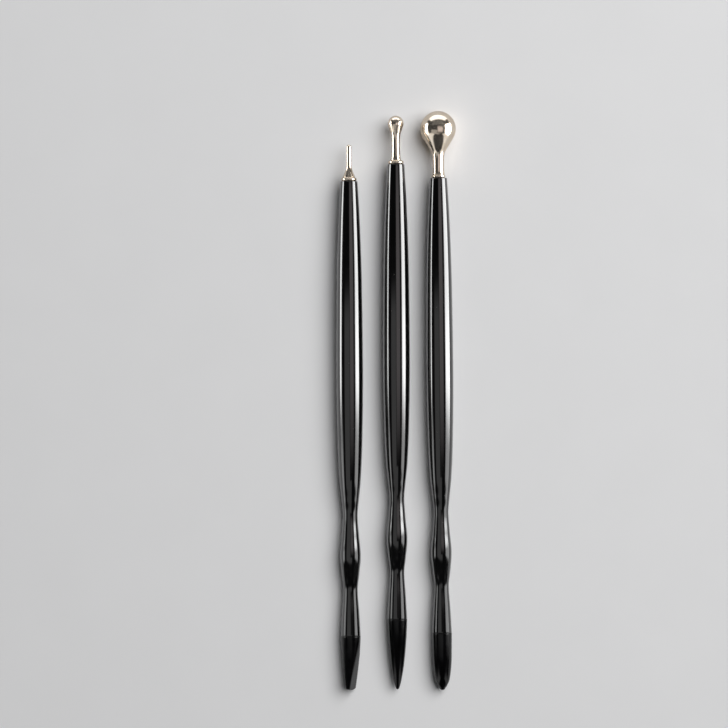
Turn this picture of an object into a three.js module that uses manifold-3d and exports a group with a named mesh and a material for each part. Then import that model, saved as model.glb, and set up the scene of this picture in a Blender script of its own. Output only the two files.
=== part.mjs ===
// A set of three double-ended clay shaping tools, lying side by side on a flat surface.
//
// Each tool has four pieces: a turned handle, a metal head whose tang goes down a bore in the
// handle, a collar ring held between the two, and a rubber tip pulled over a spigot at the
// handle's lower end. The tools differ only in their heads and tips.
//
// Units are millimetres. +Z is up, the surface is Z = 0, and the metal heads point along +Y.
// A tool is drawn about its own Y axis, with the handle's upper face at y = 0.

import * as THREE from "three";
import { mergeVertices } from "three/addons/utils/BufferGeometryUtils.js";
import Module from "manifold-3d";

const wasm = await Module();
wasm.setup();

// ---- Driving dimensions ----

const FACETS = 24; // sides of every turned piece
const SPAN_STEPS = 2; // straight steps between two knots of a smooth outline
const BALL_STEPS = 9; // straight steps along a ball's outline, from its neck to its top
const CORNER_STEPS = 3; // straight steps round a small corner
const PLAY = 0.2; // room between two pieces that touch

// The handle's outline: [y, radius] knots from the rubber seam up to the collar.
const SEAM_Y = -160.2;
const SEAM_RADIUS = 3.5;
const BELLY_Y = -68.6;
const BELLY_RADIUS = 4.75;
const HANDLE_KNOTS = [
  [SEAM_Y, SEAM_RADIUS],
  [-152, 3.06],
  [-144, 2.55], // lower waist
  [-138.6, 3.1],
  [-132, 3.68], // bead
  [-125, 3.1],
  [-117.9, 2.62], // upper waist
  [-112, 3.12],
  [-104.5, 3.85],
  [-91.5, 4.42],
  [BELLY_Y, BELLY_RADIUS],
  [-35, 4.45],
  [-14, 3.8],
  [0, 3.02],
];

// The metal head's tang in the handle's bore, and the handle's spigot in the rubber tip.
const TANG_RADIUS = 1.3;
const TANG_DEPTH = 14;
const SPIGOT_RADIUS = 1.9;
const SPIGOT_LENGTH = 9;

// The chisel tip's two flats: half the blade's thickness at its end, each flat's slope, and how
// far the tool has rolled from lying with its flats level. Blocks larger than the tip cut them.
const BLADE_HALF_THICKNESS = 0.6;
const BLADE_SLOPE = THREE.MathUtils.degToRad(10);
const BLADE_TURN = THREE.MathUtils.degToRad(65);
const BLOCK_SIZE = 60;

// The three tools. x and y place the middle of the handle's upper face, and lean turns the tool
// about +Z, in degrees. A head's knots run from its base to where the ball or the rounded end
// takes over, at the neck's angle from straight down. A tip's knots run from its rounded end, which
// reaches past the first of them by its roundness, to its upper face, where y is 0.
const TOOLS = [
  {
    name: "needle_tool",
    x: -16.75,
    y: -0.4,
    lean: 0.23,
    collar: { radius: 2.75, height: 1.3 },
    head: {
      name: "needle",
      knots: [[1.5, 2.2], [2.6, 1.72], [3.9, 1.2], [5.4, 0.87], [8, 0.84], [12.1, 0.84]],
      ball: { y: 12.1, radius: 0.84, neck: 90 },
    },
    tip: {
      name: "chisel_tip",
      knots: [[-18.5, 2.75], [-12.5, 3], [-6, 3.32], [0, SEAM_RADIUS]],
      roundness: 0.6,
      chisel: true,
    },
  },
  {
    name: "small_ball_tool",
    x: -0.25,
    y: 5.6,
    lean: 0.2,
    collar: { radius: 2.75, height: 1.3 },
    head: {
      name: "ball",
      knots: [
        [1.5, 1.8], [2.8, 1.6], [5.5, 1.43], [8, 1.4],
        [9.4, 1.48], [10.4, 1.64], [11.3, 1.88], [12.2, 2.2],
      ],
      ball: { y: 14.3, radius: 2.78, neck: 66 },
    },
    tip: {
      name: "cone_tip",
      knots: [[-24.4, 0.6], [-22.5, 1.2], [-18, 2.08], [-12.5, 2.74], [-6, 3.26], [0, SEAM_RADIUS]],
      roundness: 0.5,
    },
  },
  {
    name: "large_ball_tool",
    x: 14.75,
    y: 0.75,
    lean: 0.47,
    collar: { radius: 2.45, height: 1.1 },
    head: {
      name: "ball",
      knots: [
        [1.3, 2.2], [2.4, 2.02], [5.8, 1.97], [7.3, 2.02], [8.4, 2.15],
        [9.4, 2.5], [10.4, 3.07], [11.5, 3.76], [12.7, 4.5],
      ],
      ball: { y: 17.3, radius: 6.25, neck: 58 },
    },
    tip: {
      name: "round_tip",
      knots: [[-19.7, 1], [-18.4, 1.85], [-16, 2.7], [-11.1, 3.28], [-6, 3.44], [0, SEAM_RADIUS]],
      roundness: 0.6,
    },
  },
];

// ---- Materials ----

const lacquer = new THREE.MeshStandardMaterial({ color: 0x0b0b0d, roughness: 0.12, metalness: 0 });
const nickel = new THREE.MeshStandardMaterial({ color: 0xc9bfae, roughness: 0.2, metalness: 1 });
const rubber = new THREE.MeshStandardMaterial({ color: 0x111113, roughness: 0.5, metalness: 0 });

// ---- Outlines ----

/** Points of a smooth curve through [y, radius] knots. */
function smooth(knots) {
  const curve = new THREE.SplineCurve(knots.map(([y, radius]) => new THREE.Vector2(y, radius)));
  return curve.getPoints((knots.length - 1) * SPAN_STEPS).map((point) => [point.x, point.y]);
}

/** Points round a ball from its neck to its top. The neck's angle is from straight down. */
function ballOutline({ y, radius, neck }) {
  const outline = [];
  for (let step = 1; step < BALL_STEPS; step++) {
    const angle = THREE.MathUtils.degToRad(neck + ((180 - neck) * step) / BALL_STEPS);
    outline.push([y - radius * Math.cos(angle), radius * Math.sin(angle)]);
  }
  outline.push([y + radius, 0]);
  return outline;
}

/** Points round a blunt end, from the axis to just short of a knot of that radius at that y. */
function endOutline(y, radius, roundness) {
  const outline = [];
  for (let step = 0; step < CORNER_STEPS; step++) {
    const angle = (Math.PI / 2) * (step / CORNER_STEPS);
    outline.push([y - roundness * Math.cos(angle), radius * Math.sin(angle)]);
  }
  return outline;
}

/** A solid turned about the Y axis, from an outline that runs upwards along its outside. */
function turned(outline) {
  const points = outline.map(([y, radius]) => new THREE.Vector2(radius, y));
  return new THREE.LatheGeometry(points, FACETS);
}

// ---- Joining and cutting ----

/** A manifold-3d solid with the shape of a closed geometry. */
function toSolid(geometry) {
  const bare = geometry.clone();
  bare.deleteAttribute("normal");
  bare.deleteAttribute("uv");
  const welded = mergeVertices(bare);
  const corners = welded.index.array;
  const triangles = [];
  for (let i = 0; i < corners.length; i += 3) {
    const [a, b, c] = [corners[i], corners[i + 1], corners[i + 2]];
    if (a !== b && b !== c && c !== a) triangles.push(a, b, c);
  }
  const mesh = new wasm.Mesh({
    numProp: 3,
    vertProperties: welded.attributes.position.array,
    triVerts: new Uint32Array(triangles),
  });
  return new wasm.Manifold(mesh);
}

/** The geometry of a manifold-3d solid. */
function toGeometry(solid) {
  const mesh = solid.getMesh();
  const geometry = new THREE.BufferGeometry();
  geometry.setAttribute("position", new THREE.BufferAttribute(mesh.vertProperties, 3));
  geometry.setIndex(new THREE.BufferAttribute(mesh.triVerts, 1));
  geometry.computeVertexNormals();
  return geometry;
}

// ---- Pieces ----

/** The handle: a spigot for the rubber tip, the turned grip, and a bore for the head's tang. */
function handleGeometry() {
  const boreRadius = TANG_RADIUS + PLAY;
  const boreDepth = TANG_DEPTH + PLAY;
  return turned([
    [SEAM_Y - SPIGOT_LENGTH, 0],
    [SEAM_Y - SPIGOT_LENGTH, SPIGOT_RADIUS],
    [SEAM_Y, SPIGOT_RADIUS],
    ...smooth(HANDLE_KNOTS),
    [0, boreRadius],
    [-boreDepth, boreRadius],
    [-boreDepth, 0],
  ]);
}

/** The collar: a ring round the tang, rounded outside, standing on the handle's upper face. */
function collarGeometry({ radius, height }) {
  const boreRadius = TANG_RADIUS + PLAY;
  const round = (height - PLAY) / 2;
  const middle = PLAY + round;
  const outline = [[PLAY, boreRadius]];
  for (let step = 0; step <= 2 * CORNER_STEPS; step++) {
    const angle = (Math.PI * step) / (2 * CORNER_STEPS);
    outline.push([middle - round * Math.cos(angle), radius - round + round * Math.sin(angle)]);
  }
  outline.push([height, boreRadius], [PLAY, boreRadius]);
  return turned(outline);
}

/** A metal head: its tang, its shaped stem, and its ball or rounded end. */
function headGeometry({ knots, ball }) {
  const base = knots[0][0];
  return turned([
    [-TANG_DEPTH, 0],
    [-TANG_DEPTH, TANG_RADIUS],
    [base, TANG_RADIUS],
    ...smooth(knots),
    ...ballOutline(ball),
  ]);
}

/** A rubber tip: its shaped outside and the socket that the spigot fills. */
function tipGeometry({ knots, roundness, chisel = false }) {
  const [endY, endRadius] = knots[0];
  const socketRadius = SPIGOT_RADIUS + PLAY;
  const blank = turned([
    ...endOutline(endY, endRadius, roundness),
    ...smooth(knots),
    [0, socketRadius],
    [-SPIGOT_LENGTH, socketRadius],
    [-SPIGOT_LENGTH, 0],
  ]);
  const tip = chisel ? withFlats(blank, endY - roundness) : blank;
  return tip.translate(0, SEAM_Y - PLAY, 0);
}

/** A tip's blank with two opposite flats cut on it, which close in on a blunt edge at its end. */
function withFlats(blank, endY) {
  let solid = toSolid(blank);
  for (const side of [-1, 1]) {
    const block = new THREE.BoxGeometry(BLOCK_SIZE, BLOCK_SIZE, BLOCK_SIZE);
    block.translate(0, 0, (side * BLOCK_SIZE) / 2);
    block.rotateX(side * BLADE_SLOPE);
    block.translate(0, endY, side * BLADE_HALF_THICKNESS);
    solid = solid.subtract(toSolid(block));
  }
  return toGeometry(solid).rotateY(BLADE_TURN);
}

// ---- Assembly ----

function piece(name, geometry, material) {
  const mesh = new THREE.Mesh(geometry, material);
  mesh.name = name;
  return mesh;
}

/** One tool, lying on its seam and on whichever is lower: its belly or its large ball. */
function makeTool({ name, x, y, lean, collar, head, tip }) {
  const tool = new THREE.Group();
  tool.add(
    piece(`${name}_handle`, handleGeometry(), lacquer),
    piece(`${name}_collar`, collarGeometry(collar), nickel),
    piece(`${name}_${head.name}`, headGeometry(head), nickel),
    piece(`${name}_${tip.name}`, tipGeometry(tip), rubber),
  );
  const ballTilt = Math.atan2(head.ball.radius - SEAM_RADIUS, head.ball.y - SEAM_Y);
  const bellyTilt = Math.atan2(BELLY_RADIUS - SEAM_RADIUS, BELLY_Y - SEAM_Y);
  const tilt = Math.max(ballTilt, bellyTilt);
  const height = SEAM_RADIUS * Math.cos(tilt) - SEAM_Y * Math.sin(tilt);
  tool.rotation.set(tilt, 0, THREE.MathUtils.degToRad(lean), "ZXY");
  tool.position.set(x, y, height);
  return tool;
}

/** Moves the set so that the origin is under the middle of its box, on the surface. */
function standOnOrigin(group) {
  const box = new THREE.Box3().setFromObject(group, true);
  const middle = box.getCenter(new THREE.Vector3());
  group.position.set(-middle.x, -middle.y, -box.min.z);
  return group;
}

const set = new THREE.Group();
set.add(...TOOLS.map(makeTool));

export default standOnOrigin(set);
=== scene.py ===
import math

import bpy
from mathutils import Matrix, Vector


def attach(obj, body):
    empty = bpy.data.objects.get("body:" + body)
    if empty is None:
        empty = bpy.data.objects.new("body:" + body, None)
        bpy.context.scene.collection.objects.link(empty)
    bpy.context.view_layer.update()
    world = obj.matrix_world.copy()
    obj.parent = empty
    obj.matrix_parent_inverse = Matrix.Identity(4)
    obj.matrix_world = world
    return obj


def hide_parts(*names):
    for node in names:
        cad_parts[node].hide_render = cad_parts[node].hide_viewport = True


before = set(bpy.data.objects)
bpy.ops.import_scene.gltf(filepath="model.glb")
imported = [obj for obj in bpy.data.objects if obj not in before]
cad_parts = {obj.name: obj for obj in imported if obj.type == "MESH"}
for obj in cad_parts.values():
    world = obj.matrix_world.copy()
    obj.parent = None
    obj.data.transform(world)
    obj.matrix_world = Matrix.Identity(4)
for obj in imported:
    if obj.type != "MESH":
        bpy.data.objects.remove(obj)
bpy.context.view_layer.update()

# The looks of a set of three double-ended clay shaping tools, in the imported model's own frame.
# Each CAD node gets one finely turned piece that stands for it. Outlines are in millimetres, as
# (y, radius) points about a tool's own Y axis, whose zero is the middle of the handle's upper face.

MM = 0.001

# ---- Driving dimensions, in millimetres unless they say otherwise ----

SIDES = 128  # sides of every turned piece
SPAN_STEPS = 12  # rings between two knots of a smooth outline
ARC_STEP = 5  # degrees between two rings of a ball
COLLAR_STEPS = 24  # rings over a collar's bead
END_STEPS = 16  # rings over a tip's rounded end
EDGE_STEPS = 5  # rings over a small rounded edge
SHARP_ANGLE = math.radians(40)  # edges sharper than this are not shaded smooth
EDGE = 0.16  # radius of the small rounded edges at the seam, the collar and the head
GAP = 0.04  # room between two pieces that touch

SEAM_Y = -160.2
SEAM_RADIUS = 3.5
HANDLE_KNOTS = [
    (SEAM_Y + EDGE, SEAM_RADIUS),
    (-152, 3.06),
    (-144, 2.55),  # lower waist
    (-138.6, 3.1),
    (-132, 3.68),  # bead
    (-125, 3.1),
    (-117.9, 2.62),  # upper waist
    (-112, 3.12),
    (-104.5, 3.85),
    (-91.5, 4.42),
    (-68.6, 4.75),  # belly
    (-35, 4.45),
    (-14, 3.8),
    (-EDGE, 3.03),
]

TANG_RADIUS = 1.3
TANG_DEPTH = 14
SPIGOT_RADIUS = 1.9
SPIGOT_LENGTH = 7
BORE_ROOM = 0.1  # room round the tang and the spigot

BLADE_HALF_THICKNESS = 0.6
BLADE_SLOPE = math.radians(10)
BLADE_TURN = math.radians(65)
BLADE_CRISPNESS = 14  # how tightly the flats' edges are rounded, higher is sharper

TOOLS = [
    {
        "name": "needle_tool",
        "collar": {"radius": 2.75, "height": 1.3},
        "head": {
            "name": "needle",
            "knots": [(1.5, 2.2), (2.6, 1.72), (3.9, 1.2), (5.4, 0.87), (8, 0.84), (12.1, 0.84)],
            "ball": {"y": 12.1, "radius": 0.84, "neck": 90},
        },
        "tip": {
            "name": "chisel_tip",
            "knots": [(-18.5, 2.75), (-12.5, 3), (-6, 3.32), (0, SEAM_RADIUS)],
            "roundness": 0.6,
            "chisel": True,
        },
    },
    {
        "name": "small_ball_tool",
        "collar": {"radius": 2.75, "height": 1.3},
        "head": {
            "name": "ball",
            "knots": [
                (1.5, 1.8), (2.8, 1.6), (5.5, 1.43), (8, 1.4),
                (9.4, 1.48), (10.4, 1.64), (11.3, 1.88), (12.2, 2.2),
            ],
            "ball": {"y": 14.3, "radius": 2.78, "neck": 66},
        },
        "tip": {
            "name": "cone_tip",
            "knots": [
                (-24.4, 0.6), (-22.5, 1.2), (-18, 2.08),
                (-12.5, 2.74), (-6, 3.26), (0, SEAM_RADIUS),
            ],
            "roundness": 0.5,
            "chisel": False,
        },
    },
    {
        "name": "large_ball_tool",
        "collar": {"radius": 2.45, "height": 1.1},
        "head": {
            "name": "ball",
            "knots": [
                (1.3, 2.2), (2.4, 2.02), (5.8, 1.97), (7.3, 2.02), (8.4, 2.15),
                (9.4, 2.5), (10.4, 3.07), (11.5, 3.76), (12.7, 4.5),
            ],
            "ball": {"y": 17.3, "radius": 6.25, "neck": 58},
        },
        "tip": {
            "name": "round_tip",
            "knots": [
                (-19.7, 1), (-18.4, 1.85), (-16, 2.7),
                (-11.1, 3.28), (-6, 3.44), (0, SEAM_RADIUS),
            ],
            "roundness": 0.6,
            "chisel": False,
        },
    },
]


# ---- Outlines ----


def smooth(knots):
    """Points of a uniform Catmull-Rom curve through (y, radius) knots."""
    points = []
    last = len(knots) - 1
    for i in range(last):
        before, start, end, after = (
            Vector(knots[max(0, min(last, j))]) for j in (i - 1, i, i + 1, i + 2)
        )
        leave, arrive = (end - before) / 2, (after - start) / 2
        for step in range(SPAN_STEPS):
            t = step / SPAN_STEPS
            cubic = (2 * (start - end) + leave + arrive) * t**3
            square = (3 * (end - start) - 2 * leave - arrive) * t**2
            points.append(tuple(cubic + square + leave * t + start))
    points.append(knots[last])
    return points


def arc(y, radius, size, start, end, steps, depth=None):
    """Points round (y, radius), at a distance of size, or of depth along y.

    0 degrees is outermost and 90 is up."""
    points = []
    for step in range(steps + 1):
        angle = math.radians(start + (end - start) * step / steps)
        reach = size if depth is None else depth
        points.append((y + reach * math.sin(angle), radius + size * math.cos(angle)))
    return points


def ball_outline(y, radius, neck):
    """A ball's outline from its neck, whose angle is from straight down, to its top."""
    steps = round((180 - neck) / ARC_STEP)
    points = arc(y, 0, radius, neck - 90, 90, steps)
    return points[1:-1] + [(y + radius, 0)]


# ---- Meshes ----


def turned(name, outline, matrix, section=None):
    """A closed solid turned about the Y axis and placed by matrix.

    section gives each point's own radius, where the solid isn't round."""
    vertices = []
    rings = []
    for y, radius in outline:
        on_axis = radius < 1e-6
        ring = []
        for side in range(1 if on_axis else SIDES):
            angle = 2 * math.pi * side / SIDES
            reach = radius if section is None or on_axis else section(y, radius, angle)
            ring.append(len(vertices))
            vertices.append(Vector((reach * math.sin(angle), y, reach * math.cos(angle))) * MM)
        rings.append(ring)
    if len(rings[0]) > 1:
        rings[-1] = rings[0]  # an outline that closes on itself
        vertices = vertices[:-SIDES]
    faces = []
    for low, high in zip(rings, rings[1:]):
        for side in range(SIDES):
            following = (side + 1) % SIDES
            corners = [low[side % len(low)], low[following % len(low)]]
            corners += [high[following % len(high)], high[side % len(high)]]
            faces.append(list(dict.fromkeys(corners)))
    mesh = bpy.data.meshes.new(name)
    mesh.from_pydata(vertices, [], faces)
    mesh.transform(matrix)
    mesh.shade_smooth()
    mesh.set_sharp_from_angle(angle=SHARP_ANGLE)
    piece = bpy.data.objects.new(name, mesh)
    bpy.context.scene.collection.objects.link(piece)
    return piece


def tool_matrix(handle_node):
    """The place of a tool's own axes, with zero in its handle's upper face and Y up the handle."""
    points = {tuple(round(c, 7) for c in v.co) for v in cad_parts[handle_node].data.vertices}
    low = min(y for _, y, _ in points)
    high = max(y for _, y, _ in points)

    def middle(end):
        near = [Vector(p) for p in points if abs(p[1] - end) < 0.5 * MM]
        return sum(near, Vector()) / len(near)

    top = middle(high)
    along = (top - middle(low)).normalized()
    across = along.cross(Vector((0, 0, 1))).normalized()
    turn = Matrix((across, along, across.cross(along))).transposed()
    return Matrix.Translation(top) @ turn.to_4x4()


# ---- Pieces ----


def handle_outline():
    bore_radius = TANG_RADIUS + BORE_ROOM
    bore_depth = TANG_DEPTH + BORE_ROOM
    end_radius = HANDLE_KNOTS[-1][1]
    return [
        (SEAM_Y - SPIGOT_LENGTH, 0),
        (SEAM_Y - SPIGOT_LENGTH, SPIGOT_RADIUS),
        (SEAM_Y, SPIGOT_RADIUS),
        *arc(SEAM_Y + EDGE, SEAM_RADIUS - EDGE, EDGE, -90, 0, EDGE_STEPS)[:-1],
        *smooth(HANDLE_KNOTS),
        *arc(-EDGE, end_radius - EDGE, EDGE, 0, 90, EDGE_STEPS)[1:],
        (0, bore_radius),
        (-bore_depth, bore_radius),
        (-bore_depth, 0),
    ]


def collar_outline(radius, height):
    bore_radius = TANG_RADIUS + BORE_ROOM
    bead = (height - GAP) / 2
    return [
        (GAP, bore_radius),
        *arc(GAP + bead, radius - bead, bead, -90, 90, COLLAR_STEPS),
        (height, bore_radius),
        (GAP, bore_radius),
    ]


def head_outline(knots, ball, collar_height):
    base = collar_height + GAP
    base_radius = knots[0][1]
    return [
        (-TANG_DEPTH, 0),
        (-TANG_DEPTH, TANG_RADIUS),
        (base, TANG_RADIUS),
        *arc(base + EDGE, base_radius - EDGE, EDGE, -90, 0, EDGE_STEPS)[:-1],
        *smooth([(base + EDGE, base_radius), *knots[1:]]),
        *ball_outline(**ball),
    ]


def tip_outline(knots, roundness):
    top = -GAP
    end_y, end_radius = knots[0]
    socket_radius = SPIGOT_RADIUS + BORE_ROOM
    socket_end = top - SPIGOT_LENGTH - BORE_ROOM
    outline = [
        (end_y - roundness, 0),
        *arc(end_y, 0, end_radius, -90, 0, END_STEPS, depth=roundness)[1:-1],
        *smooth([*knots[:-1], (top - EDGE, knots[-1][1])]),
        *arc(top - EDGE, SEAM_RADIUS - EDGE, EDGE, 0, 90, EDGE_STEPS)[1:],
        (top, socket_radius),
        (socket_end, socket_radius),
        (socket_end, 0),
    ]
    return [(SEAM_Y + y, radius) for y, radius in outline]


def blade_section(end_y):
    """Flattens a tip's outside on two sides, more and more towards its end at end_y."""

    def section(y, radius, angle):
        flat = BLADE_HALF_THICKNESS + (y - end_y) * math.tan(BLADE_SLOPE)
        across = abs(math.cos(angle - BLADE_TURN))
        crowding = (radius * across / flat) ** BLADE_CRISPNESS
        return radius * (1 + crowding) ** (-1 / BLADE_CRISPNESS)

    return section


def make_tool(tool, materials):
    """Makes a tool's four pieces, each in its CAD node's place."""
    name, collar, head, tip = (tool[key] for key in ("name", "collar", "head", "tip"))
    matrix = tool_matrix(f"{name}_handle")
    section = None
    if tip["chisel"]:
        section = blade_section(SEAM_Y + tip["knots"][0][0] - tip["roundness"])
    head_points = head_outline(head["knots"], head["ball"], collar["height"])
    tip_points = tip_outline(tip["knots"], tip["roundness"])
    rows = [
        ("handle", "black_lacquer", handle_outline(), None),
        ("collar", "nickel_plate", collar_outline(**collar), None),
        (head["name"], "nickel_plate", head_points, None),
        (tip["name"], "black_rubber", tip_points, section),
    ]
    for part, slot, outline, piece_section in rows:
        piece = turned(f"fine_{name}_{part}", outline, matrix, piece_section)
        piece.data.materials.append(materials[slot])
        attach(piece, name)
        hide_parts(f"{name}_{part}")


# ---- Materials ----


class Nodes:
    """Short calls for building one material's node tree."""

    def __init__(self, name):
        self.material = bpy.data.materials.new(name)
        self.material.use_nodes = True
        self.tree = self.material.node_tree
        self.shader = self.tree.nodes["Principled BSDF"]
        self.place = self.add("ShaderNodeTexCoord").outputs["Object"]

    def add(self, kind, **settings):
        node = self.tree.nodes.new(kind)
        for key, value in settings.items():
            setattr(node, key, value)
        return node

    def link(self, output, socket):
        self.tree.links.new(output, socket)

    def drive(self, **outputs):
        """Links each output to the shader's socket of that name, with _ for a space."""
        for name, output in outputs.items():
            self.link(output, self.shader.inputs[name.replace("_", " ")])

    def fix(self, **numbers):
        """Sets the shader's own sockets, named in the same way."""
        for name, number in numbers.items():
            self.shader.inputs[name.replace("_", " ")].default_value = number

    def noise(self, scale, detail=2.0, stretch=(1, 1, 1)):
        """Noise from 0 to 1, with scale blobs a metre, stretched along the row's axes."""
        mapping = self.add("ShaderNodeMapping")
        mapping.inputs["Scale"].default_value = stretch
        texture = self.add("ShaderNodeTexNoise")
        texture.inputs["Scale"].default_value = scale
        texture.inputs["Detail"].default_value = detail
        self.link(self.place, mapping.inputs["Vector"])
        self.link(mapping.outputs["Vector"], texture.inputs["Vector"])
        return texture.outputs["Fac"]

    def ranged(self, value, low, high, to_low, to_high):
        """value from low to high, turned into to_low to to_high and held at its ends."""
        node = self.add("ShaderNodeMapRange")
        for socket, number in zip(node.inputs[1:5], (low, high, to_low, to_high)):
            socket.default_value = number
        self.link(value, node.inputs["Value"])
        return node.outputs["Result"]

    def mixed(self, share, low, high):
        """A colour from low to high by share."""
        node = self.add("ShaderNodeMix", data_type="RGBA")
        node.inputs["A"].default_value = (*low, 1)
        node.inputs["B"].default_value = (*high, 1)
        self.link(share, node.inputs["Factor"])
        return node.outputs["Result"]

    def bump(self, height, distance, normal=None):
        node = self.add("ShaderNodeBump")
        node.inputs["Distance"].default_value = distance
        self.link(height, node.inputs["Height"])
        if normal is not None:
            self.link(normal, node.inputs["Normal"])
        return node.outputs["Normal"]


def lacquer():
    """Black paint under a clear coat, with faint ripples and a few dust specks."""
    n = Nodes("black_lacquer")
    specks = n.ranged(n.noise(1500, 3), 0.745, 0.775, 0, 1)
    colour = n.mixed(specks, (0.0003, 0.0003, 0.0004), (0.16, 0.155, 0.15))
    roughness = n.ranged(n.noise(90, 4), 0.35, 0.75, 0.09, 0.18)
    ripple = n.bump(n.noise(110, 1, (1, 0.3, 1)), 0.00003)
    n.drive(Base_Color=colour, Roughness=roughness, Normal=ripple, Coat_Normal=ripple)
    n.fix(IOR=1.5, Coat_Weight=1, Coat_Roughness=0.03, Coat_IOR=1.5)
    return n.material


def nickel():
    """Warm plated metal, a little dull and uneven."""
    n = Nodes("nickel_plate")
    tarnish = n.ranged(n.noise(260, 5), 0.4, 0.75, 0, 1)
    colour = n.mixed(tarnish, (0.78, 0.69, 0.58), (0.64, 0.54, 0.43))
    roughness = n.ranged(n.noise(500, 4), 0.3, 0.75, 0.12, 0.2)
    waves = n.bump(n.noise(300, 1), 0.00004)
    turning_marks = n.bump(n.noise(2500, 2, (0.15, 1, 0.15)), 0.000001, waves)
    n.drive(Base_Color=colour, Roughness=roughness, Normal=turning_marks)
    n.fix(Metallic=0.94, Specular_Tint=(0.7, 0.66, 0.62, 1))
    return n.material


def rubber():
    """Satin black rubber, with a fine grain and a faint bloom."""
    n = Nodes("black_rubber")
    bloom = n.ranged(n.noise(220, 5), 0.45, 0.8, 0, 1)
    colour = n.mixed(bloom, (0.0006, 0.0006, 0.0008), (0.003, 0.003, 0.0035))
    roughness = n.ranged(n.noise(350, 4), 0.3, 0.75, 0.12, 0.2)
    grain = n.bump(n.noise(5200, 3), 0.000004)
    n.drive(Base_Color=colour, Roughness=roughness, Normal=grain)
    n.fix(IOR=1.41)
    return n.material


def pale_floor():
    """Matt pale paper, with no gloss, so that it doesn't mirror the softboxes."""
    n = Nodes("pale_floor")
    colour = n.mixed(n.noise(40, 3), (0.78, 0.78, 0.785), (0.81, 0.81, 0.815))
    roughness = n.ranged(n.noise(300, 2), 0.3, 0.7, 0.8, 0.9)
    n.drive(Base_Color=colour, Roughness=roughness)
    n.fix(Specular_IOR_Level=0)
    return n.material


# ---- Stage, lights and camera ----

FRAME_WIDTH = 0.2563  # metres across the frame, at the height of the tools' middles
CAMERA_SHIFT = (-0.0112, -0.0703)  # metres from the small ball tool's handle top to the camera
LENS = 150  # millimetres
SENSOR = 36
ROOM = (0.024, 0.024, 0.025, 1)  # what the gloss reflects between the softboxes
BACKDROP = (0.8, 0.8, 0.81, 1)  # what the camera sees past the floor
FLOOR_HALF = 4  # metres, half the floor's side
WALL = 0.3  # metres from the middle of the set to the side softboxes, and up to the overhead ones
FILL_WALL = WALL + 0.01  # to the weaker panels behind the side softboxes

# The ways a panel faces, from its own side of the set.
FROM_LEFT, FROM_RIGHT = (1, 0, 0), (-1, 0, 0)
FROM_FRONT, FROM_BACK = (0, 1, 0), (0, -1, 0)
FROM_ABOVE = (0, 0, -1)

WHITE = (1, 1, 1)
ROSY = (1, 0.92, 0.93)

# The softboxes that the gloss reflects: two opposite corners in metres, the way each faces, its
# radiance, the widths in metres over which it fades out across and up, and its colour.
SOFTBOXES = {
    "overhead_right": (
        (-0.02, -0.09, WALL), (0.2, 0.2, WALL), FROM_ABOVE, 0.74, (0.035, 0.1), ROSY,
    ),
    "right_softbox": (
        (WALL, -0.045, -0.1), (WALL, 0.26, 0.3), FROM_RIGHT, 10, (0.05, 0.09), WHITE,
    ),
    "right_fill": (
        (FILL_WALL, -0.13, -0.1), (FILL_WALL, 0.05, 0.3), FROM_RIGHT, 2.5, (0.03, 0.06), WHITE,
    ),
    "left_softbox": (
        (-WALL, -0.04, -0.05), (-WALL, 0.26, 0.1), FROM_LEFT, 9, (0.045, 0.03), WHITE,
    ),
    "left_fill": (
        (-FILL_WALL, -0.13, -0.1), (-FILL_WALL, -0.02, 0.15), FROM_LEFT, 2, (0.03, 0.04), WHITE,
    ),
    "overhead_left": (
        (-0.33, -0.15, WALL), (0.1, 0.055, WALL), FROM_ABOVE, 0.42, (0.05, 0.025), WHITE,
    ),
    "overhead_back": (
        (-0.3, 0.18, WALL), (0.3, 0.55, WALL), FROM_ABOVE, 0.1, (0.03, 0.08), WHITE,
    ),
    "top_softbox": (
        (-0.09, 0.2, -0.01), (0.11, 0.2, 0.07), FROM_BACK, 1.9, (0.012, 0.008), WHITE,
    ),
    "front_left": (
        (-1, -0.5, -0.1), (-0.33, -0.5, 0.8), FROM_FRONT, 1, (0.1, 0.15), WHITE,
    ),
    "front_right": (
        (0.39, -0.5, -0.1), (1, -0.5, 0.8), FROM_FRONT, 1, (0.1, 0.15), WHITE,
    ),
}
KEY = ((-0.2, -0.4, 1.5), (1.8, 1.6, 1.5), FROM_ABOVE, 4.3, (0.3, 0.3), WHITE)


def add_floor():
    near, far = -FLOOR_HALF, FLOOR_HALF
    mesh = bpy.data.meshes.new("floor")
    corners = [(near, near, 0), (far, near, 0), (far, far, 0), (near, far, 0)]
    mesh.from_pydata(corners, [], [(0, 1, 2, 3)])
    mesh.materials.append(pale_floor())
    floor = bpy.data.objects.new("floor", mesh)
    bpy.context.scene.collection.objects.link(floor)


def fade_edges(light, fade):
    """Fades a light out towards its edges over fade, in metres: first across, then up."""
    nodes, links = light.node_tree.nodes, light.node_tree.links
    place = nodes.new("ShaderNodeSeparateXYZ")
    links.new(nodes.new("ShaderNodeNewGeometry").outputs["Parametric"], place.inputs[0])
    product = nodes.new("ShaderNodeMath")
    product.operation = "MULTIPLY"
    for axis, length in enumerate((light.size, light.size_y)):
        edge = nodes.new("ShaderNodeMath")
        edge.operation = "PINGPONG"
        edge.inputs[1].default_value = 0.5
        ramp = nodes.new("ShaderNodeMapRange")
        ramp.interpolation_type = "SMOOTHSTEP"
        ramp.inputs["From Max"].default_value = min(0.5, fade[axis] / length)
        links.new(place.outputs[axis], edge.inputs[0])
        links.new(edge.outputs[0], ramp.inputs["Value"])
        links.new(ramp.outputs["Result"], product.inputs[axis])
    links.new(product.outputs[0], nodes["Emission"].inputs["Strength"])


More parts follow.
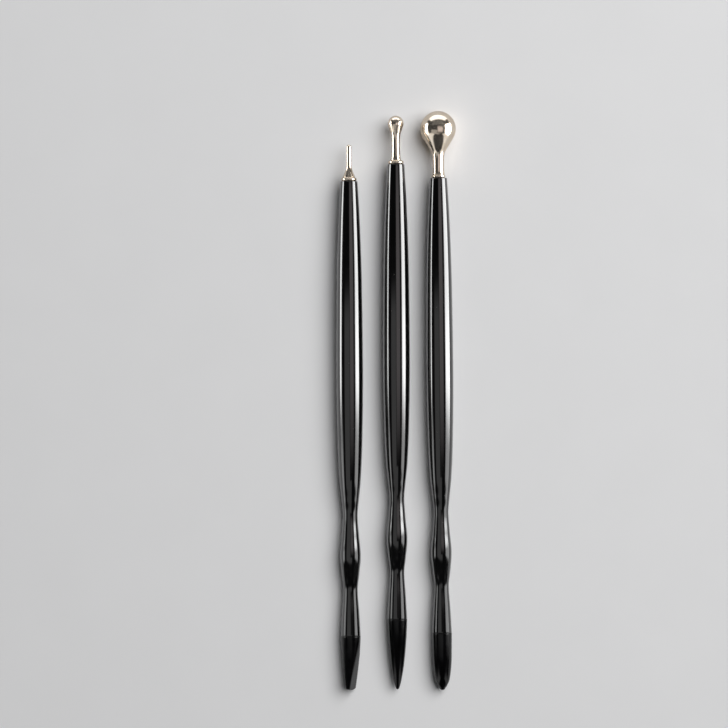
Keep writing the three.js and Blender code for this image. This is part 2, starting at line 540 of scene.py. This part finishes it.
def add_panel(name, low, high, facing, radiance, fade, colour):
    """A lit rectangle from corner low to corner high that faces along facing."""
    low, high = Vector(low), Vector(high)
    turn = Vector(facing).to_track_quat("-Z", "Y")
    size = turn.inverted() @ (high - low)
    light = bpy.data.lights.new(name, "AREA")
    light.shape = "RECTANGLE"
    light.size, light.size_y = abs(size.x), abs(size.y)
    light.energy = radiance * math.pi * light.size * light.size_y
    light.color = colour
    light.use_nodes = True
    fade_edges(light, fade)
    panel = bpy.data.objects.new(name, light)
    panel.location = (low + high) / 2
    panel.rotation_euler = turn.to_euler()
    panel.visible_camera = False
    bpy.context.scene.collection.objects.link(panel)
    return panel


def add_lights():
    """Softboxes close round the set, which only the gloss shows, and a key light for the rest."""
    for name, row in SOFTBOXES.items():
        add_panel(name, *row).visible_diffuse = False
    key = add_panel("key", *KEY)
    key.rotation_euler = Vector(key.location).to_track_quat("Z", "Y").to_euler()
    key.visible_glossy = False


def add_world():
    """A dim room, with a pale backdrop where the camera looks past the floor."""
    world = bpy.data.worlds.new("studio")
    world.use_nodes = True
    nodes, links = world.node_tree.nodes, world.node_tree.links
    room = nodes["Background"]
    room.inputs["Color"].default_value = ROOM
    backdrop = nodes.new("ShaderNodeBackground")
    backdrop.inputs["Color"].default_value = BACKDROP
    mix = nodes.new("ShaderNodeMixShader")
    links.new(nodes.new("ShaderNodeLightPath").outputs["Is Camera Ray"], mix.inputs["Fac"])
    links.new(room.outputs["Background"], mix.inputs[1])
    links.new(backdrop.outputs["Background"], mix.inputs[2])
    links.new(mix.outputs["Shader"], nodes["World Output"].inputs["Surface"])
    bpy.context.scene.world = world


def add_camera():
    """Straight above the set, with the set a little right of and below the middle of the frame."""
    data = bpy.data.cameras.new("camera")
    data.sensor_width = SENSOR
    data.lens = LENS
    camera = bpy.data.objects.new("camera", data)
    handle_top = tool_matrix("small_ball_tool_handle").translation
    distance = FRAME_WIDTH * LENS / SENSOR
    camera.location = handle_top + Vector((*CAMERA_SHIFT, distance))
    bpy.context.scene.collection.objects.link(camera)
    bpy.context.scene.camera = camera


add_camera()
MATERIALS = {"black_lacquer": lacquer(), "nickel_plate": nickel(), "black_rubber": rubber()}
for TOOL in TOOLS:
    make_tool(TOOL, MATERIALS)
add_floor()
add_lights()
add_world()
bpy.context.scene.view_settings.view_transform = "Standard"
